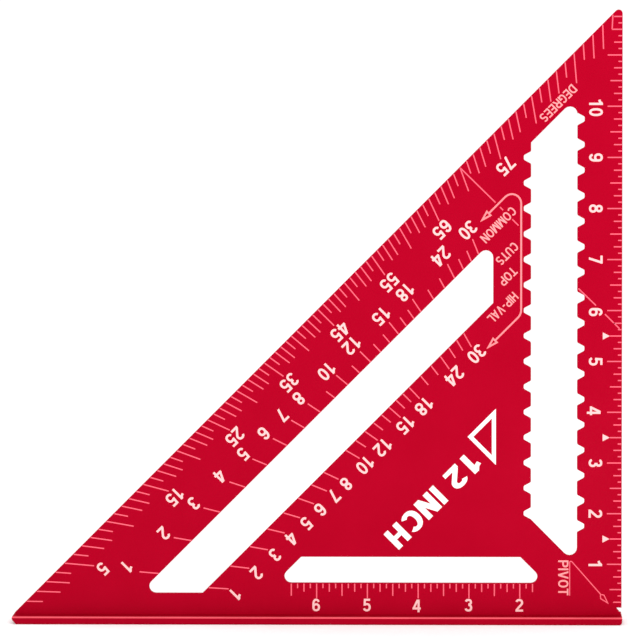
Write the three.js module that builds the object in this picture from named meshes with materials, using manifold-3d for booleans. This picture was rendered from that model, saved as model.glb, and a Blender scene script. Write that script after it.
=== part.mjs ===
// A 12 inch speed square (rafter square): a right-angled triangular blade standing on a guide fence.
// The fence stands proud of the blade on both sides, so either side of it hooks over a board's edge.
//
// Millimetres, +Z up. X runs along the fence, towards the pivot corner where the two legs meet, and
// Y through the thickness, with the blade's middle on the plane y = 0. The origin is the centre of
// the fence's underside. The pivot corner is where the rule edge meets the fence's top face: the
// inch scales count from there, so the slots are drawn in inches from it, to the left and upwards.

import * as THREE from "three";
import { mergeVertices } from "three/addons/utils/BufferGeometryUtils.js";
import Module from "manifold-3d";

const wasm = await Module();
wasm.setup();

// ---- Driving dimensions, millimetres ------------------------------------------------------------

const INCH = 25.4;
const bladeThickness = 3;
const slopeIntercept = 304.6; // where the sloping edge would meet the vertical rule edge
const tipRadius = 1.9;

const fenceDepth = 25; // front guide face to back guide face, across the blade
const fenceThickness = 3.9;
const fenceTopRadius = 1; // rounding of the long edges that slide along a board
const fenceBottomRadius = 0.5;
const footDepth = 0.5; // how far the blade's foot is let into the fence's top face
const heelRadius = 1.8; // rounding of the fence's lower corner, under the rule edge
const noseRadius = 2; // rounded end of the fence, under the sloping edge
const noseDrop = 0.75; // how far the centre of that rounding is below the fence's top face

const pivotNotch = { depth: 2.75, height: 3.65 }; // V in the rule edge, at the pivot corner

// ---- Slot dimensions, inches from the pivot corner ----------------------------------------------

const scribeSlot = { left: -1.783, right: -0.877, topSlope: 11.078, bottomSlope: 0.086 };
const scribe = { pitch: 0.5, depth: 0.142, mouth: 0.244, root: 0.092, rootRadius: 0.042, lipRadius: 0.035 };
const rightScribes = { first: 1.75, count: 17 };
const leftScribes = { first: 2, count: 15 };
const rafterSlot = { upper: 9.91, lower: 8.666, bottom: 0.413, right: -2.523 };
const seatSlot = { top: 1.14, bottom: 0.619, leftSlope: 7.443, rightSlope: -0.848 };

// Rounding of the slots' acute corners, and of all their obtuse ones.
const scribeNose = 0.145;
const rafterTopNose = 0.143;
const rafterLowNose = 0.134;
const seatNose = 0.132;
const slotHeel = 0.03;

// ---- Derived places -----------------------------------------------------------------------------

const arcSteps = 3; // ExtrudeGeometry divides each rounded corner into twice as many chords
const noseTip = -slopeIntercept - noseDrop; // where the sloping edge would meet the fence's end bevel
const noseCentre = noseTip + noseRadius * Math.SQRT2;
const overallWidth = noseRadius - noseCentre;
const ruleEdgeX = overallWidth / 2;

// Millimetres from the pivot corner to a corner of an outline: x, height and rounding.
const corner = (x, z, radius = 0) => ({ x: ruleEdgeX + x, z: fenceThickness + z, radius });

// The same, from inches.
const place = (x, z, radius = 0) => corner(x * INCH, z * INCH, radius * INCH);

// ---- Outlines and solids ------------------------------------------------------------------------

// A closed outline through the corners, each rounded by an arc of its own radius.
function outline(corners, path = new THREE.Shape()) {
  corners.forEach((c, i) => {
    const here = new THREE.Vector2(c.x, c.z);
    const before = corners.at(i - 1);
    const after = corners[(i + 1) % corners.length];
    const toBefore = new THREE.Vector2(before.x, before.z).sub(here).normalize();
    const toAfter = new THREE.Vector2(after.x, after.z).sub(here).normalize();
    const start = here.clone();
    if (c.radius > 0) {
      const half = Math.acos(THREE.MathUtils.clamp(toBefore.dot(toAfter), -1, 1)) / 2;
      start.addScaledVector(toBefore, c.radius / Math.tan(half));
      const inward = toBefore.clone().add(toAfter).normalize();
      const centre = here.clone().addScaledVector(inward, c.radius / Math.sin(half));
      const end = here.clone().addScaledVector(toAfter, c.radius / Math.tan(half));
      const clockwise = toBefore.cross(toAfter) > 0;
      const startAngle = start.clone().sub(centre).angle();
      const endAngle = end.clone().sub(centre).angle();
      if (i > 0) path.lineTo(start.x, start.y);
      path.absarc(centre.x, centre.y, c.radius, startAngle, endAngle, clockwise);
    } else if (i > 0) {
      path.lineTo(start.x, start.y);
    } else {
      path.moveTo(start.x, start.y);
    }
  });
  path.closePath();
  return path;
}

// An outline in x and z, extruded to both sides of the plane y = 0.
function plate(shape, thickness) {
  const geometry = new THREE.ExtrudeGeometry(shape, {
    depth: thickness,
    bevelEnabled: false,
    curveSegments: arcSteps,
  });
  return geometry.translate(0, 0, -thickness / 2).rotateX(Math.PI / 2);
}

// An outline in y and z, extruded along x from one end to the other.
function bar(shape, fromX, toX) {
  const geometry = new THREE.ExtrudeGeometry(shape, {
    depth: toX - fromX,
    bevelEnabled: false,
    curveSegments: arcSteps,
  });
  const turn = new THREE.Matrix4().makeBasis(
    new THREE.Vector3(0, 1, 0),
    new THREE.Vector3(0, 0, 1),
    new THREE.Vector3(1, 0, 0),
  );
  return geometry.applyMatrix4(turn).translate(fromX, 0, 0);
}

function solid(geometry) {
  const bare = geometry.clone();
  bare.deleteAttribute("normal");
  bare.deleteAttribute("uv");
  const merged = mergeVertices(bare, 1e-4);
  return new wasm.Manifold(
    new wasm.Mesh({
      numProp: 3,
      vertProperties: merged.attributes.position.array,
      triVerts: new Uint32Array(merged.index.array),
    }),
  );
}

function geometryOf(manifold) {
  const mesh = manifold.getMesh();
  const geometry = new THREE.BufferGeometry();
  geometry.setAttribute("position", new THREE.BufferAttribute(mesh.vertProperties, 3));
  geometry.setIndex(new THREE.BufferAttribute(mesh.triVerts, 1));
  const faceted = geometry.toNonIndexed();
  faceted.computeVertexNormals();
  return faceted;
}

// ---- Slots --------------------------------------------------------------------------------------

// The four corners of one scribing notch, upwards. Its wall stands at x, and side is +1 to the right of
// the slot or -1 to its left.
function scribeCorners(wall, centre, side) {
  const root = wall + side * scribe.depth;
  return [
    place(wall, centre - scribe.mouth / 2, scribe.lipRadius),
    place(root, centre - scribe.root / 2, scribe.rootRadius),
    place(root, centre + scribe.root / 2, scribe.rootRadius),
    place(wall, centre + scribe.mouth / 2, scribe.lipRadius),
  ];
}

function scribeWall(wall, { first, count }, side) {
  const notches = Array.from({ length: count }, (_, i) =>
    scribeCorners(wall, first + i * scribe.pitch, side),
  );
  return notches.flat();
}

// The upright slot. A row of notches along each wall takes a pencil at every half inch.
function scribeSlotOutline() {
  const { left, right, topSlope, bottomSlope } = scribeSlot;
  return outline(
    [
      place(right, bottomSlope - right, scribeNose),
      ...scribeWall(right, rightScribes, 1),
      place(right, right + topSlope, scribeNose),
      place(left, left + topSlope, slotHeel),
      ...scribeWall(left, leftScribes, -1).reverse(),
    ],
    new THREE.Path(),
  );
}

// The long slot along the slope, with the rafter scales on both of its sides.
function rafterSlotOutline() {
  const { upper, lower, bottom, right } = rafterSlot;
  return outline(
    [
      place(bottom - lower, bottom, slotHeel),
      place(right, right + lower, slotHeel),
      place(right, right + upper, rafterTopNose),
      place(bottom - upper, bottom, rafterLowNose),
    ],
    new THREE.Path(),
  );
}

// The level slot above the fence, with the inside rule under it.
function seatSlotOutline() {
  const { top, bottom, leftSlope, rightSlope } = seatSlot;
  return outline(
    [
      place(bottom - leftSlope, bottom, seatNose),
      place(rightSlope - bottom, bottom, seatNose),
      place(rightSlope - top, top, slotHeel),
      place(top - leftSlope, top, slotHeel),
    ],
    new THREE.Path(),
  );
}

// The cutter of the V notch that the square pivots on. Its lower side runs out at the fence's top face.
function pivotCutter() {
  const beyond = 1;
  const shape = outline([
    corner(0, 0),
    corner(beyond, 0),
    corner(beyond, pivotNotch.height),
    corner(-pivotNotch.depth, pivotNotch.height),
  ]);
  return solid(plate(shape, bladeThickness + 2 * beyond));
}

// ---- Members ------------------------------------------------------------------------------------

// The whole square from the front, without its slots. The fence's end bevel mirrors the slope at 45 degrees.
function silhouette() {
  return outline([
    corner(noseTip - noseDrop + fenceThickness, -fenceThickness, fenceBottomRadius),
    corner(0, -fenceThickness, heelRadius),
    corner(0, slopeIntercept, tipRadius),
    corner(noseTip, -noseDrop, noseRadius),
  ]);
}

// The triangular plate, from its foot in the fence's groove to the tip.
function blade() {
  const shape = silhouette();
  shape.holes = [scribeSlotOutline(), rafterSlotOutline(), seatSlotOutline()];
  const below = new THREE.BoxGeometry(2 * overallWidth, fenceDepth, 2 * (fenceThickness - footDepth));
  return solid(plate(shape, bladeThickness)).subtract(solid(below)).subtract(pivotCutter());
}

// The guide bar under the blade: its cross-section along the whole leg, trimmed to the silhouette, with
// the shallow groove that the blade's foot fills. The groove parts the top into the two guide faces.
function fence() {
  const halfDepth = fenceDepth / 2;
  const section = outline([
    { x: -halfDepth, z: 0, radius: fenceBottomRadius },
    { x: halfDepth, z: 0, radius: fenceBottomRadius },
    { x: halfDepth, z: fenceThickness, radius: fenceTopRadius },
    { x: -halfDepth, z: fenceThickness, radius: fenceTopRadius },
  ]);
  const groove = new THREE.BoxGeometry(2 * overallWidth, bladeThickness, 2 * footDepth);
  groove.translate(0, 0, fenceThickness);
  const whole = solid(bar(section, -overallWidth, overallWidth)).subtract(solid(groove));
  return whole.intersect(solid(plate(silhouette(), 2 * fenceDepth)));
}

// ---- Assembly -----------------------------------------------------------------------------------

function member(name, shape) {
  const material = new THREE.MeshStandardMaterial({
    name: "red_aluminium",
    color: 0xc4062b,
    roughness: 0.42,
    metalness: 0.35,
  });
  const mesh = new THREE.Mesh(geometryOf(shape), material);
  mesh.name = name;
  return mesh;
}

const group = new THREE.Group();
group.name = "speed_square";
group.add(member("blade", blade()), member("fence", fence()));

export default group;
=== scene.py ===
# A 12 inch speed square in satin red anodised aluminium, standing on its fence on a pale studio floor.
#
# Metres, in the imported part's frame. The markings are drawn in inches on the plate: x is measured from
# the rule edge, so it is negative on the plate, and z upwards from the fence's top face. Each layer of
# ink is a thin closed slab of its own that stands just proud of the blade's face.
import math

import bmesh
import bpy
from mathutils import Matrix, Vector
from mathutils.geometry import delaunay_2d_cdt


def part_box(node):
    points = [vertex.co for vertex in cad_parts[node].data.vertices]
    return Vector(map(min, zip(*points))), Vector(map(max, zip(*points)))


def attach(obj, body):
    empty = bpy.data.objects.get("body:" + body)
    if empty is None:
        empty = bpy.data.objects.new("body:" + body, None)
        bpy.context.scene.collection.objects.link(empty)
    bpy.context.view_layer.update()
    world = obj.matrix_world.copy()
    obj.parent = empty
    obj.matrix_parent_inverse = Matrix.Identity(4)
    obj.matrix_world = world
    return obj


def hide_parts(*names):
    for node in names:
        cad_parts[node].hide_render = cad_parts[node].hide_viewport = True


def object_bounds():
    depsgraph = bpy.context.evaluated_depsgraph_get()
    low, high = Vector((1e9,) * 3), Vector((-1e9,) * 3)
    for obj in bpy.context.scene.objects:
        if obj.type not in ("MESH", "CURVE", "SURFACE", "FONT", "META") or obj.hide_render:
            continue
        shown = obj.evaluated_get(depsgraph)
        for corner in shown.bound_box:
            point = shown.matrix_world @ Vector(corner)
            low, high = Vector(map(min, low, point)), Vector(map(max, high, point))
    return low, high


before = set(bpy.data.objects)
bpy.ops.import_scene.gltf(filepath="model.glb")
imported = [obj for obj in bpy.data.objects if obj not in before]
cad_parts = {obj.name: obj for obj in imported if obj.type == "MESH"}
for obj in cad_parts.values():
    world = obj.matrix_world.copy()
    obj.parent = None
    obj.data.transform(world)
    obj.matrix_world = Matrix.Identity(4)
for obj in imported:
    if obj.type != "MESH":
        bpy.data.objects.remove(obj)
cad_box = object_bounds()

# ---- Driving dimensions, metres ------------------------------------------------------------------

MM = 0.001
INCH = 0.0254
EDGE_BEVEL = 0.2 * MM
INK_PROUD = 0.02 * MM
INK_SUNK = 0.02 * MM
GRAIN_HEIGHT = 0.012 * MM
DRAWING_LINE_HEIGHT = 0.006 * MM
INK_GRAIN_HEIGHT = 0.005 * MM
JOINT_MARGIN = 0.05 * MM
WELD_DISTANCE = 1e-7
FLOOR_SIZE = 60

# ---- Angles in degrees, and steps ----------------------------------------------------------------

FLAT_ANGLE = 0.2  # facets that meet at less than this are one flat face
BEVEL_ANGLE = 50  # edges sharper than this are rounded
CREASE_ANGLE = 40  # edges sharper than this stay crisp in the shading
ARC_STEP = 15  # turn of a letter's curve in one tile
BEND_STEPS = 8  # tiles in the rounded bend of a line

# ---- Driving dimensions, inches on the plate -----------------------------------------------------

LEG = 12.0  # from the pivot corner to each end of the slope
RAYS_FROM = (0.014, 0.045)  # the point, just above the pivot corner, that the angle lines are drawn from
SLOPE_EDGE = 0.016  # depth at which the lines along the slope begin
COMMON_EDGE = 1.478  # depths of the long slot's two edges below the slope
HIP_EDGE = 2.357
SEAT_EDGE = 0.619  # height of the level slot's lower edge
INK_MARGIN = 0.01  # the ink stops short of the rounded edges

TICK = 0.022  # line widths
BRACKET_LINE = 0.034
LEADER_LINE = 0.019
ICON_LINE = 0.08

NUMERAL_HEIGHT = 0.268
INSIDE_NUMERAL_HEIGHT = 0.25
LABEL_HEIGHT = 0.18
PIVOT_LABEL_HEIGHT = 0.2
SIZE_MARK_HEIGHT = 0.43

NUMERAL_STROKE = 0.163  # stroke widths and the gap between letters, as shares of the height
LABEL_STROKE = 0.15
MARK_STROKE = 0.2
LETTER_GAP = 0.1
SQUARENESS = 2.25  # power of the letters' curves: 2 would give ellipses
MITRE_LIMIT = 5  # at a sharp bend, a mitre reaches at most this many times the line's half width
TILE_TOLERANCE = 1e-5  # corners of tiles closer than this are one

# ---- The scales, inches --------------------------------------------------------------------------

EDGE_RULE_SPAN = (0.25, 11.75)  # first and last line
EDGE_TICKS = {8: 0.08, 4: 0.165, 2: 0.235, 1: 0.29}  # lengths, by the fineness of the division
EDGE_NUMERALS_IN = 0.517  # distance from the rule edge to the middle of the numerals
POINTER_HEIGHTS = (1.5, 3.5, 5.5)
POINTER_REACH = (0.24, 0.377)  # distances from the rule edge to a pointer's tip and base
POINTER_HALF = 0.07

INSIDE_RULE_SPAN = (1.75, 6.5)
INSIDE_TICKS = {8: 0.10, 4: 0.17, 2: 0.25, 1: 0.30}
INSIDE_NUMERALS_UP = 0.185  # height of the middle of the numerals
INSIDE_NUMERALS_LEFT = 0.01  # distance from their lines

DEGREE_TICKS = {0: 0.46, 1: 0.245, 2: 0.36, 3: 0.36, 4: 0.245}  # end depths, by the angle's remainder over 5
LAST_RAY_END = (-0.205, 11.5)  # the 89 degree line's lower end, on one of the rule's lines
SHORT_LINES_FROM = 11.4  # above this height the rule's lines reach no further than that end

# A numeral on a ray stands at a depth below the slope, in line with where its ray crosses another depth.
DEGREE_NUMERAL_DEPTH = 0.625
DEGREE_NUMERAL_RAY_DEPTH = 0.58
RAFTER_NUMERAL_SHIFT = 0.042  # how far down the slope the rafter numerals stand from there

LABELLED_RISES = (1, 2, 3, 4, 5, 6, 7, 8, 10, 12, 15, 18, 24, 30)
PLAIN_RISES = (11, 13, 14, 16, 17, 20, 22, 26, 28)
COMMON_RUN = 12
HIP_RUN = 12 * math.sqrt(2)

# How far some numerals stand from their usual places, along the way they read and then upwards. Those
# of the degree scale are moved only down the slope.
EDGE_NUDGES = {4: (-0.03, -0.035), 6: (0.03, 0), 10: (0.03, 0)}
DEGREE_NUDGES = {5: 0.02, 15: 0.065, 25: 0.065, 35: 0.03, 55: 0.02, 65: 0.035, 75: -0.04}
COMMON_NUDGES = {1: (0.02, -0.05), 4: (-0.015, -0.02), 10: (0.02, 0.01), 12: (-0.01, 0), 30: (-0.025, 0.01)}
HIP_NUDGES = {1: (0.03, 0), 7: (-0.04, 0), 8: (-0.045, 0), 24: (-0.03, 0), 30: (-0.045, 0)}
INSIDE_NUDGES = {4: (-0.02, -0.015)}

# ---- Textures, features per metre ----------------------------------------------------------------

CLOUDS = 35
GRAIN = 2600
DRAWING_LINES = (8, 2200, 2200)
INK_SPECKLE = 1800
INK_GLOSS = 900
INK_GRAIN = 2400
FLOOR_CLOUDS = 3

# ---- Places from the CAD frame -------------------------------------------------------------------

blade_low, blade_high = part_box("blade")
fence_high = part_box("fence")[1]
FACE_Y = {"front": blade_low.y, "back": blade_high.y}
OUTWARD = {"front": -1, "back": 1}


def on_plate(point, face, proud):
    """A point of the plate, given in inches, standing proud of one of its faces."""
    x = blade_high.x + point[0] * INCH
    z = fence_high.z + point[1] * INCH
    return Vector((x, FACE_Y[face] + OUTWARD[face] * proud, z))


def on_slope(along, depth):
    """A point in inches, from its distance down the slope from the tip and its depth below the slope."""
    return Vector(((depth - along) / math.sqrt(2), LEG - (along + depth) / math.sqrt(2)))


def on_ray(angle, depth):
    """Where the line at that angle crosses a depth below the slope."""
    x, z = RAYS_FROM
    along_from = (LEG - z - x) / math.sqrt(2)
    depth_from = (LEG - z + x) / math.sqrt(2)
    return on_slope(along_from - (depth_from - depth) * math.tan(math.radians(angle - 45)), depth)


def beside_ray(angle, centre_depth, ray_depth, shift):
    """A numeral's centre, in line with where its ray crosses a depth and then shifted down the slope."""
    return on_ray(angle, ray_depth) + INTO_PLATE * (centre_depth - ray_depth) + DOWN_SLOPE * shift


DOWN_SLOPE = Vector((-1, -1)).normalized()
INTO_PLATE = Vector((1, -1)).normalized()

# ---- Flat shapes ---------------------------------------------------------------------------------


def arc(centre_x, centre_y, radius_x, radius_y, start, end):
    """Points along an arc from start to end, in degrees. It is a little squarer than an ellipse."""
    steps = max(2, round(abs(end - start) / ARC_STEP))
    power = 2 / SQUARENESS
    points = []
    for i in range(steps + 1):
        angle = math.radians(start + (end - start) * i / steps)
        across = math.copysign(abs(math.cos(angle)) ** power, math.cos(angle))
        up = math.copysign(abs(math.sin(angle)) ** power, math.sin(angle))
        points.append(Vector((centre_x + radius_x * across, centre_y + radius_y * up)))
    return points


def ribbon(points, width, closed=False):
    """The tiles of a line of one width, mitred at its bends and cut square at its ends."""
    points = [Vector(p) for p in points]
    count = len(points)
    left, right = [], []
    for i, point in enumerate(points):
        before = (point - points[i - 1]).normalized() if closed or i > 0 else None
        after = (points[(i + 1) % count] - point).normalized() if closed or i < count - 1 else None
        before = before or after
        after = after or before
        along = (before + after).normalized()
        across = Vector((-along.y, along.x))
        reach = width / 2 / max(1 / MITRE_LIMIT, across.dot(Vector((-before.y, before.x))))
        left.append(point + across * reach)
        right.append(point - across * reach)
    last = count if closed else count - 1
    return [[left[i], right[i], right[(i + 1) % count], left[(i + 1) % count]] for i in range(last)]


def rounded(points, radii):
    """A path through the points, with each bend rounded to its own radius."""
    points = [Vector(p) for p in points]
    path = [points[0]]
    for before, here, after, radius in zip(points, points[1:], points[2:], radii):
        back = (before - here).normalized()
        on = (after - here).normalized()
        half = back.angle(on) / 2
        inward = (back + on).normalized()
        centre = here + inward * radius / math.sin(half)
        start = here + back * radius / math.tan(half) - centre
        end = here + on * radius / math.tan(half) - centre
        turn = start.angle_signed(end)
        for i in range(BEND_STEPS + 1):
            angle = -turn * i / BEND_STEPS
            path.append(centre + Matrix.Rotation(angle, 2) @ start)
    return path + [points[-1]]


def tick(start, end):
    """One line of a scale."""
    return ribbon([start, end], TICK)


# ---- Lettering, one unit high --------------------------------------------------------------------


def slant(x0, y0, x1, y1, width):
    """A straight stroke between two heights, with level ends."""
    half = width / 2 * math.hypot(x1 - x0, y1 - y0) / abs(y1 - y0)
    corners = [(x0 - half, y0), (x0 + half, y0), (x1 + half, y1), (x1 - half, y1)]
    return [[Vector(corner) for corner in corners]]


def turned(tiles, width):
    """The same strokes, upside down."""
    return [[Vector((width - p.x, 1 - p.y)) for p in tile] for tile in tiles]


def alphabet(stroke):
    """Each character's width and the tiles of its strokes: plain condensed capitals and numerals."""
    low = stroke / 2
    high = 1 - low

    def line(*points):
        return ribbon(points, stroke)

    def loop(centre_x, centre_y, half_width, half_height):
        outer = arc(centre_x, centre_y, half_width - low, half_height - low, 0, 360)
        return ribbon(outer[:-1], stroke, closed=True)

    def bend(centre_x, centre_y, half_width, half_height, start, end):
        return arc(centre_x, centre_y, half_width - low, half_height - low, start, end)

    def diagonal(x0, y0, x1, y1):
        return slant(x0, y0, x1, y1, stroke)

    def upright(x, top=1):
        return line((x, 0), (x, top))

    def posts(width):
        return upright(low) + upright(width - low)

    def level(x0, x1, y):
        return line((x0, y), (x1, y))

    six = loop(0.3, 0.32, 0.3, 0.32) + line(*bend(0.3, 0.56, 0.3, 0.44, 28, 180), (low, 0.32))
    hook = line(*bend(0.3, 0.71, 0.3, 0.29, 165, -32), (low, low * 1.6))
    upper_three = line(*bend(0.29, 0.74, 0.28, 0.26, 165, -90))
    lower_three = line(*bend(0.29, 0.3, 0.3, 0.3, 90, -165))
    belly = line(*bend(0.29, 0.33, 0.31, 0.33, 140, -160))
    bowl = line((low, high), *bend(0.34, 0.7, 0.28, 0.3, 90, -90), (low, 0.4 + low))
    upper_s = bend(0.3, 0.73, 0.28, 0.27, 28, 270)
    lower_s = bend(0.3, 0.23 + low, 0.3, 0.23 + low, 90, -155)
    inner = stroke * 0.6
    return {
        "0": (0.58, loop(0.29, 0.5, 0.29, 0.5)),
        "1": (0.53, upright(0.4 - low) + line((0.02, 0.74), (0.16, 0.78), (0.4 - low, 0.95))),
        "2": (0.6, hook + level(0, 0.6, low)),
        "3": (0.59, upper_three + lower_three),
        "4": (0.64, upright(0.47) + diagonal(0.42, 1, low, 0.3) + level(0, 0.64, 0.3)),
        "5": (0.6, level(0.1, 0.55, high) + diagonal(0.07 + low, 1, 0.03 + low, 0.46) + belly),
        "6": (0.6, six),
        "7": (0.58, level(0, 0.58, high) + diagonal(0.47, 1 - stroke, 0.2, 0)),
        "8": (0.6, loop(0.3, 0.74, 0.27, 0.26) + loop(0.3, 0.29, 0.3, 0.29)),
        "9": (0.6, turned(six, 0.6)),
        "A": (0.68, diagonal(0.34, 1, low, 0) + diagonal(0.34, 1, 0.68 - low, 0) + level(0.15, 0.53, 0.28)),
        "C": (0.62, line(*bend(0.33, 0.5, 0.33, 0.5, 42, 318))),
        "D": (0.64, upright(low) + line((low, high), *bend(0.28, 0.5, 0.36, 0.5, 90, -90), (low, low))),
        "E": (0.54, upright(low) + level(low, 0.53, high) + level(low, 0.5, 0.52) + level(low, 0.54, low)),
        "G": (
            0.66,
            line(*bend(0.33, 0.5, 0.33, 0.5, 42, 330)) + level(0.36, 0.66, 0.44) + upright(0.66 - low, 0.5),
        ),
        "H": (0.62, posts(0.62) + level(low, 0.62 - low, 0.5)),
        "I": (stroke, upright(low)),
        "L": (0.52, upright(low) + level(low, 0.52, low)),
        "M": (0.78, posts(0.78) + diagonal(inner, 1, 0.39, 0) + diagonal(0.78 - inner, 1, 0.39, 0)),
        "N": (0.64, posts(0.64) + diagonal(inner, 1, 0.64 - inner, 0)),
        "O": (0.68, loop(0.34, 0.5, 0.34, 0.5)),
        "P": (0.62, upright(low) + bowl),
        "R": (0.64, upright(low) + bowl + diagonal(0.34, 0.4 + low, 0.64 - low, 0)),
        "S": (0.6, line(*upper_s[:-1], *lower_s)),
        "T": (0.6, level(0, 0.6, high) + upright(0.3)),
        "U": (0.62, line((low, 1), *bend(0.31, 0.35, 0.31, 0.35, 180, 360), (0.62 - low, 1))),
        "V": (0.68, diagonal(low, 1, 0.34, 0) + diagonal(0.68 - low, 1, 0.34, 0)),
        "-": (0.32, level(0.02, 0.3, 0.42)),
        " ": (0.25, []),
    }


NUMERALS = alphabet(NUMERAL_STROKE)
LABELS = alphabet(LABEL_STROKE)
MARKS = alphabet(MARK_STROKE)


def text(string, centre, height, reading, length=None, mirrored=False, glyphs=NUMERALS, nudge=(0, 0)):
    """The tiles of a line of lettering centred on a point, reading in a direction, stretched to a length."""
    natural = sum(glyphs[c][0] for c in string) + LETTER_GAP * (len(string) - 1)
    reading = Vector(reading)
    upright = Vector((-reading.y, reading.x)) * (-1 if mirrored else 1)
    start = Vector(centre) + reading * nudge[0] + upright * nudge[1]
    across = reading * (length / natural if length else height)
    tiles = []
    place = -natural / 2
    for character in string:
        width, strokes = glyphs[character]
        for tile in strokes:
            tiles.append([start + across * (place + p.x) + upright * height * (p.y - 0.5) for p in tile])
        place += width + LETTER_GAP
    return tiles


# ---- Materials -----------------------------------------------------------------------------------


def material(name):
    """A new material, its node tree and its shader."""
    made = bpy.data.materials.new(name)
    made.use_nodes = True
    return made, made.node_tree, made.node_tree.nodes["Principled BSDF"]


def noise(tree, scale, detail, stretch=(1, 1, 1)):
    """Noise in the object's own space, with features about 1 / scale metres across."""
    nodes, links = tree.nodes, tree.links
    coordinates = nodes.new("ShaderNodeTexCoord")
    mapping = nodes.new("ShaderNodeMapping")
    mapping.inputs["Scale"].default_value = stretch
    texture = nodes.new("ShaderNodeTexNoise")
    texture.inputs["Scale"].default_value = scale
    texture.inputs["Detail"].default_value = detail
    links.new(coordinates.outputs["Object"], mapping.inputs["Vector"])
    links.new(mapping.outputs["Vector"], texture.inputs["Vector"])
    return texture.outputs["Fac"]


def spread(tree, value, low, high):
    """A number between low and high, as the noise value goes from 0.3 to 0.7."""
    node = tree.nodes.new("ShaderNodeMapRange")
    node.inputs["From Min"].default_value = 0.3
    node.inputs["From Max"].default_value = 0.7
    node.inputs["To Min"].default_value = low
    node.inputs["To Max"].default_value = high
    tree.links.new(value, node.inputs["Value"])
    return node.outputs["Result"]


def bump(tree, value, height, normal=None):
    """A surface that rises by up to a height as the value grows, on top of another such surface."""
    node = tree.nodes.new("ShaderNodeBump")
    node.inputs["Distance"].default_value = height
    tree.links.new(value, node.inputs["Height"])
    if normal:
        tree.links.new(normal, node.inputs["Normal"])
    return node.outputs["Normal"]


def blended(tree, value, first, second):
    """The first colour where the value is 0, the second where it is 1, and a mix between."""
    node = tree.nodes.new("ShaderNodeMix")
    node.data_type = "RGBA"
    node.inputs["A"].default_value = (*first, 1)
    node.inputs["B"].default_value = (*second, 1)
    tree.links.new(value, node.inputs["Factor"])
    return node.outputs["Result"]


def anodised(name, first, second, roughness=(0.42, 0.52), metallic=0.4):
    """Dyed aluminium: an even satin colour with fine grain and faint drawing lines along the extrusion."""
    made, tree, shader = material(name)
    clouds = spread(tree, noise(tree, CLOUDS, detail=3), 0, 1)
    tree.links.new(blended(tree, clouds, first, second), shader.inputs["Base Color"])
    grain = noise(tree, GRAIN, detail=2)
    lines = noise(tree, 1, detail=3, stretch=DRAWING_LINES)
    tree.links.new(spread(tree, grain, *roughness), shader.inputs["Roughness"])
    fine = bump(tree, grain, GRAIN_HEIGHT)
    tree.links.new(bump(tree, lines, DRAWING_LINE_HEIGHT, fine), shader.inputs["Normal"])
    shader.inputs["Metallic"].default_value = metallic
    shader.inputs["Specular IOR Level"].default_value = 0.0
    shader.inputs["Specular Tint"].default_value = (1, 0.3, 0.35, 1)
    shader.inputs["Coat Weight"].default_value = 0.03
    shader.inputs["Coat Roughness"].default_value = 0.2
    return made


def ink(name, colour):
    """Matt printing ink, a little uneven."""
    made, tree, shader = material(name)
    speckle = spread(tree, noise(tree, INK_SPECKLE, detail=3), 0, 1)
    darker = tuple(c * 0.93 for c in colour)
    tree.links.new(blended(tree, speckle, darker, colour), shader.inputs["Base Color"])
    gloss = noise(tree, INK_GLOSS, detail=2)
    tree.links.new(spread(tree, gloss, 0.5, 0.65), shader.inputs["Roughness"])
    grain = noise(tree, INK_GRAIN, detail=2)
    tree.links.new(bump(tree, grain, INK_GRAIN_HEIGHT), shader.inputs["Normal"])
    shader.inputs["Specular IOR Level"].default_value = 0.3
    return made


RED = anodised("anodised_red", (0.375, 0.0002, 0.0135), (0.395, 0.0005, 0.0155))
# The fence is the blade's red made darker: painted shade, since the fence is part of the same anodised
# extrusion.
SHADED_FENCE_RED = anodised("anodised_red_fence_painted_shade", (0.325, 0.0004, 0.0115), (0.345, 0.0007, 0.0135))
# The rounded edges are a much darker red: painted shade along every bevel.
SHADED_EDGE_RED = anodised("anodised_red_edges_painted_shade", (0.20, 0.0004, 0.009), (0.22, 0.0007, 0.011))
# A paler pink for the fence's top roundings: a painted highlight.
PAINTED_HIGHLIGHT_RED = anodised("painted_highlight_red", (0.66, 0.076, 0.105), (0.73, 0.09, 0.122), (0.34, 0.42), 0.2)
BRIGHT = ink("bright_ink", (0.93, 0.86, 0.85))
WHITE = ink("white_ink", (0.93, 0.535, 0.525))
PALE = ink("pale_ink", (0.93, 0.31, 0.32))
ROSE = ink("rose_ink", (0.93, 0.24, 0.26))
FINE = ink("fine_line_ink", (0.93, 0.12, 0.18))

# ---- The aluminium body --------------------------------------------------------------------------


def placed(name, mesh, finish):
    """A piece of the square, riding on its one body."""
    piece = bpy.data.objects.new(name, mesh)
    bpy.context.scene.collection.objects.link(piece)
    mesh.materials.append(finish)
    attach(piece, "root")
    return piece


def soften(bm):
    """Smooth shading, with a crease where two faces meet at more than the crease angle."""
    for face in bm.faces:
        face.smooth = True
    for edge in bm.edges:
        edge.smooth = edge.calc_face_angle(0) < math.radians(CREASE_ANGLE)


def in_joint(vertex):
    """Whether a corner is in the joint where the blade's foot fills the fence's groove."""
    across = blade_low.y - JOINT_MARGIN < vertex.co.y < blade_high.y + JOINT_MARGIN
    return across and blade_low.z - JOINT_MARGIN < vertex.co.z < fence_high.z + JOINT_MARGIN


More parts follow.
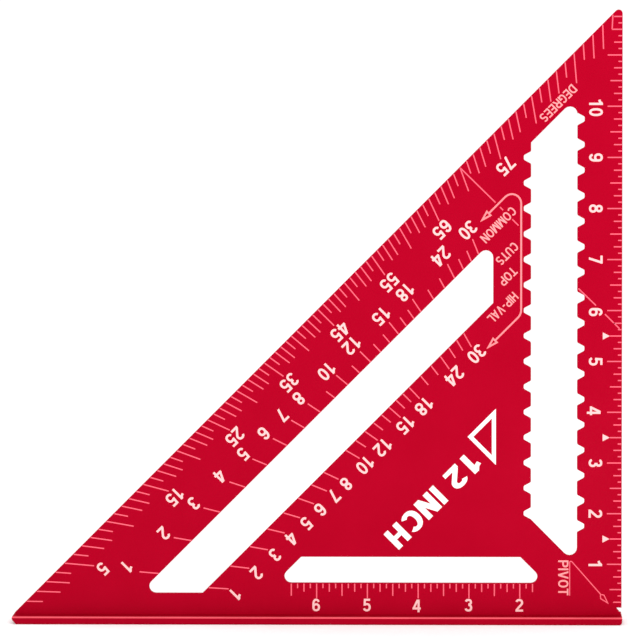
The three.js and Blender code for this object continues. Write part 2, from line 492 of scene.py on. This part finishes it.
def softened_copy(name, node, finish):
    """A CAD solid with its sharp edges rounded, apart from those in the joint; the roundings take a darker
    red as painted shade.
    """
    bm = bmesh.new()
    bm.from_mesh(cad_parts[node].data)
    bmesh.ops.remove_doubles(bm, verts=bm.verts, dist=WELD_DISTANCE)
    bmesh.ops.dissolve_limit(bm, angle_limit=math.radians(FLAT_ANGLE), verts=bm.verts, edges=bm.edges)
    sharp = [
        edge
        for edge in bm.edges
        if edge.calc_face_angle(0) > math.radians(BEVEL_ANGLE) and not any(map(in_joint, edge.verts))
    ]
    bevels = bmesh.ops.bevel(
        bm,
        geom=sharp,
        offset=EDGE_BEVEL,
        segments=2,
        profile=0.5,
        affect="EDGES",
        clamp_overlap=True,
    )
    # Every rounded edge takes the darker red: painted shade.
    for face in bevels["faces"]:
        face.material_index = 1
    soften(bm)
    mesh = bpy.data.meshes.new(name)
    bm.to_mesh(mesh)
    bm.free()
    piece = placed(name, mesh, finish)
    mesh.materials.append(SHADED_EDGE_RED)
    piece.modifiers.new("flat_faces_stay_flat", "WEIGHTED_NORMAL").keep_sharp = True
    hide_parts(node)
    return piece


softened_copy("blade_plate", "blade", RED)
fence_bar = softened_copy("fence_bar", "fence", SHADED_FENCE_RED)

# The fence's long top edges, the roundings between its top and its sides, take a paler pink: a painted
# highlight.
fence_bar.data.materials.append(PAINTED_HIGHLIGHT_RED)
for polygon in fence_bar.data.polygons:
    if polygon.normal.z > 0.2 and abs(polygon.normal.y) > 0.1:
        polygon.material_index = 2

# ---- Markings ------------------------------------------------------------------------------------


def counter_clockwise(tile):
    """The same tile, with its corners in counter-clockwise order."""
    area = sum(a.x * b.y - b.x * a.y for a, b in zip(tile, tile[1:] + tile[:1]))
    return tile if area > 0 else tile[::-1]


def marking(name, tiles, finish, face="front"):
    """One layer of ink: the union of flat tiles, in inches on the plate, as a thin closed slab."""
    corners, outlines = [], []
    for tile in map(counter_clockwise, tiles):
        outlines.append(list(range(len(corners), len(corners) + len(tile))))
        corners += tile
    only_inside = 1
    points, _, triangles, _, _, owners = delaunay_2d_cdt(corners, [], outlines, only_inside, TILE_TOLERANCE)
    triangles = [t for t, owner in zip(triangles, owners) if owner]
    bm = bmesh.new()
    top = [bm.verts.new(on_plate(p, face, INK_PROUD)) for p in points]
    under = [bm.verts.new(on_plate(p, face, -INK_SUNK)) for p in points]
    # An edge between two triangles runs one way in each, and the two cancel: the outline is left.
    sides = set()
    for t in triangles:
        bm.faces.new([top[i] for i in t])
        bm.faces.new([under[i] for i in reversed(t)])
        for a, b in zip(t, (*t[1:], t[0])):
            if (b, a) in sides:
                sides.remove((b, a))
            else:
                sides.add((a, b))
    for a, b in sides:
        bm.faces.new((top[a], under[a], under[b], top[b]))
    loose = [v for v in bm.verts if not v.link_faces]
    bmesh.ops.delete(bm, geom=loose, context="VERTS")
    bmesh.ops.recalc_face_normals(bm, faces=bm.faces)
    mesh = bpy.data.meshes.new(name)
    bm.to_mesh(mesh)
    bm.free()
    return placed(name, mesh, finish)


def eighths(first, last):
    """Each eighth of an inch from first to last, with the fineness of its division: 1, 2, 4 or 8."""
    for i in range(round(first * 8), round(last * 8) + 1):
        yield i / 8, 8 // math.gcd(i, 8)


def edge_rule(prefix, face):
    """The inch rule up the upright edge, with its numerals reading downwards."""
    mirrored = face == "back"
    ticks = []
    for height, fineness in eighths(*EDGE_RULE_SPAN):
        length = EDGE_TICKS[fineness]
        if height > SHORT_LINES_FROM:
            length = min(length, -LAST_RAY_END[0])
        ticks += tick((-INK_MARGIN, height), (-length, height))
    marking(prefix + "_ticks", ticks, FINE, face)
    numerals = []
    reading = (0, 1) if mirrored else (0, -1)
    for inch in range(1, 11):
        centre = (-EDGE_NUMERALS_IN, inch)
        nudge = EDGE_NUDGES.get(inch, (0, 0))
        numerals += text(str(inch), centre, NUMERAL_HEIGHT, reading, mirrored=mirrored, nudge=nudge)
    marking(prefix + "_numerals", numerals, WHITE, face)


def degree_scale(prefix, face):
    """The protractor along the slope: a line for each degree, on a ray from the pivot corner."""
    mirrored = face == "back"
    ticks, numerals = [], []
    for angle in range(1, 89):
        ticks += tick(on_ray(angle, SLOPE_EDGE), on_ray(angle, DEGREE_TICKS[angle % 5]))
    ticks += tick(on_ray(89, SLOPE_EDGE), LAST_RAY_END)
    marking(prefix + "_ticks", ticks, FINE, face)
    reading = -DOWN_SLOPE if mirrored else DOWN_SLOPE
    for angle in range(5, 80, 10):
        shift = DEGREE_NUDGES.get(angle, 0)
        centre = beside_ray(angle, DEGREE_NUMERAL_DEPTH, DEGREE_NUMERAL_RAY_DEPTH, shift)
        numerals += text(str(angle), centre, NUMERAL_HEIGHT, reading, mirrored=mirrored)
    marking(prefix + "_numerals", numerals, WHITE, face)


def rafter_scale(prefix, run, plain_rises, start, labelled_end, plain_end, centre_depth, ray_depths, nudges):
    """A rafter scale along the long slot: a line for each inch of rise, for its own length of run.

    The two ray depths are those of the numerals with one digit and with two.
    """
    ticks, numerals = [], []
    for rises, end in ((LABELLED_RISES, labelled_end), (plain_rises, plain_end)):
        for rise in rises:
            angle = math.degrees(math.atan(rise / run))
            ticks += tick(on_ray(angle, start), on_ray(angle, end))
    marking(prefix + "_ticks", ticks, FINE)
    for rise in LABELLED_RISES:
        angle = math.degrees(math.atan(rise / run))
        ray_depth = ray_depths[len(str(rise)) - 1]
        centre = beside_ray(angle, centre_depth, ray_depth, RAFTER_NUMERAL_SHIFT)
        nudge = nudges.get(rise, (0, 0))
        numerals += text(str(rise), centre, NUMERAL_HEIGHT, DOWN_SLOPE, nudge=nudge)
    marking(prefix + "_numerals", numerals, WHITE)


edge_rule("edge_rule", "front")
pointers = []
tip_in, base_in = POINTER_REACH
for height in POINTER_HEIGHTS:
    pointer = [(-base_in, height + POINTER_HALF), (-base_in, height - POINTER_HALF), (-tip_in, height)]
    pointers.append([Vector(corner) for corner in pointer])
marking("edge_rule_pointers", pointers, WHITE)

degree_scale("degree_scale", "front")
rafter_scale(
    "common_scale",
    run=COMMON_RUN,
    plain_rises=(9, *PLAIN_RISES),
    start=COMMON_EDGE - INK_MARGIN,
    labelled_end=1.18,
    plain_end=1.265,
    centre_depth=0.98,
    ray_depths=(1.13, 1.0),
    nudges=COMMON_NUDGES,
)
rafter_scale(
    "hip_valley_scale",
    run=HIP_RUN,
    plain_rises=PLAIN_RISES,
    start=HIP_EDGE + INK_MARGIN,
    labelled_end=2.66,
    plain_end=2.59,
    centre_depth=2.83,
    ray_depths=(2.76, 2.76),
    nudges=HIP_NUDGES,
)

inside_ticks = []
for reach, fineness in eighths(*INSIDE_RULE_SPAN):
    inside_ticks += tick((-reach, SEAT_EDGE - INK_MARGIN), (-reach, SEAT_EDGE - INSIDE_TICKS[fineness]))
marking("inside_rule_ticks", inside_ticks, FINE)
inside_numerals = []
for inch in range(2, 7):
    centre = (-inch - INSIDE_NUMERALS_LEFT, INSIDE_NUMERALS_UP)
    nudge = INSIDE_NUDGES.get(inch, (0, 0))
    inside_numerals += text(str(inch), centre, INSIDE_NUMERAL_HEIGHT, (1, 0), nudge=nudge)
marking("inside_rule_numerals", inside_numerals, WHITE)

labels = []
for word, along, depth, length in (
    ("DEGREES", 2.26, 0.485, 0.9),
    ("COMMON", 4.765, 1.34, 0.86),
    ("CUTS", 5.045, 1.86, 0.5),
    ("TOP", 5.35, 2.185, 0.39),
    ("HIP-VAL", 5.855, 2.55, 0.72),
):
    labels += text(word, on_slope(along, depth), LABEL_HEIGHT, DOWN_SLOPE, length, glyphs=LABELS)
labels += text("PIVOT", (-1.145, 0.73), PIVOT_LABEL_HEIGHT, (0, -1), 0.69, glyphs=LABELS)
marking("scale_labels", labels, PALE)


def hollow_head(tip, length, half_width, line_width):
    """The outline of an arrowhead that points down the slope: a slim triangle."""
    base = tip - DOWN_SLOPE * length
    across = INTO_PLATE * half_width
    return ribbon([tip, base + across, base - across], line_width, closed=True)


upper_tip = Vector((-2.737, 7.78))
lower_tip = Vector((-2.614, 5.286))
head_length, head_half = 0.178, 0.052
bracket_path = rounded(
    [
        upper_tip - DOWN_SLOPE * head_length,
        (-1.976, 8.544),
        (-1.976, 5.924),
        lower_tip - DOWN_SLOPE * head_length,
    ],
    (0.182, 0.22),
)
bracket = ribbon(bracket_path, BRACKET_LINE)
for tip in (upper_tip, lower_tip):
    bracket += hollow_head(tip, head_length, head_half, BRACKET_LINE)
marking("cuts_bracket", bracket, ROSE)

leader = ribbon(rounded([(-1.02, 0.38), (-1.02, 1.1), (-0.415, 0.41)], (0.025,)), LEADER_LINE)
leader += ribbon([(-0.415, 0.405), (-0.345, 0.39), (-0.272, 0.235), (-0.41, 0.32)], LEADER_LINE, closed=True)
marking("pivot_leader", leader, FINE)

layout = []
for start, end in (
    ((-3.16, 8.79), (-2.48, 8.12)),
    ((-2.39, 8.03), (-2.33, 7.97)),
    ((-2.15, 7.79), (-2.03, 7.67)),
    ((-0.855, 6.433), (-0.513, 6.1)),
    ((-0.336, 5.93), (-0.05, 5.645)),
):
    layout += tick(start, end)
marking("layout_line", layout, FINE)

size_mark = text("12 INCH", on_slope(9.5, 4.27), SIZE_MARK_HEIGHT, DOWN_SLOPE, 2.35, glyphs=MARKS)
square_icon = [on_slope(7.45, 3.9), on_slope(8.1, 3.9), on_slope(8.1, 4.55)]
size_mark += ribbon(square_icon, ICON_LINE, closed=True)
marking("size_mark", size_mark, BRIGHT)

edge_rule("back_rule", "back")
degree_scale("back_degree_scale", "back")

# ---- Studio --------------------------------------------------------------------------------------


def floor():
    """A very large pale floor under the fence."""
    half = FLOOR_SIZE / 2
    mesh = bpy.data.meshes.new("floor")
    corners = [(-half, -half, 0), (half, -half, 0), (half, half, 0), (-half, half, 0)]
    mesh.from_pydata(corners, [], [(0, 1, 2, 3)])
    made, tree, shader = material("floor_white")
    shader.inputs["Roughness"].default_value = 0.8
    shader.inputs["Specular IOR Level"].default_value = 0.0
    clouds = spread(tree, noise(tree, FLOOR_CLOUDS, detail=2), 0, 1)
    tone = blended(tree, clouds, (0.955, 0.955, 0.955), (0.97, 0.97, 0.97))
    tree.links.new(tone, shader.inputs["Base Color"])
    mesh.materials.append(made)
    ground = bpy.data.objects.new("floor", mesh)
    bpy.context.scene.collection.objects.link(ground)


def area_light(name, place, aim, size, power):
    """A soft rectangular light at a place, turned towards a point."""
    data = bpy.data.lights.new(name, "AREA")
    data.shape = "RECTANGLE"
    data.size, data.size_y = size
    data.energy = power
    light = bpy.data.objects.new(name, data)
    light.location = place
    light.rotation_euler = (Vector(aim) - Vector(place)).to_track_quat("-Z", "Y").to_euler()
    bpy.context.scene.collection.objects.link(light)


def studio():
    """White surroundings, a softbox in front and above, and a weak low light on the fence."""
    world = bpy.data.worlds.new("studio")
    world.use_nodes = True
    background = world.node_tree.nodes["Background"]
    background.inputs["Color"].default_value = (1, 1, 1, 1)
    background.inputs["Strength"].default_value = 1.08
    bpy.context.scene.world = world
    area_light("softbox", place=(0.35, -1.5, 1.0), aim=(0, 0, 0.15), size=(1.6, 0.5), power=13.2)
    area_light("low_fill", place=(0.3, -0.45, 0.03), aim=(0.1, 0, 0.03), size=(0.4, 0.05), power=0.11)
    bpy.context.scene.view_settings.view_transform = "Standard"


def camera():
    """A long lens, almost level and square to the blade."""
    azimuth = math.radians(1.81)
    elevation = math.radians(3.88)
    roll = math.radians(-0.13)
    distance = 2.379
    centre = (cad_box[0] + cad_box[1]) / 2
    target = centre + Vector((0.0018, 0, -0.0014))
    away = Vector(
        (
            math.sin(azimuth) * math.cos(elevation),
            -math.cos(azimuth) * math.cos(elevation),
            math.sin(elevation),
        )
    )
    data = bpy.data.cameras.new("camera")
    data.sensor_width = 36
    data.lens = 268.2
    data.clip_start = 0.1
    data.clip_end = 100
    made = bpy.data.objects.new("camera", data)
    made.location = target + away * distance
    turn = (-away).to_track_quat("-Z", "Y").to_matrix().to_4x4()
    made.rotation_euler = (turn @ Matrix.Rotation(roll, 4, "Z")).to_euler()
    bpy.context.scene.collection.objects.link(made)
    bpy.context.scene.camera = made


floor()
studio()
camera()
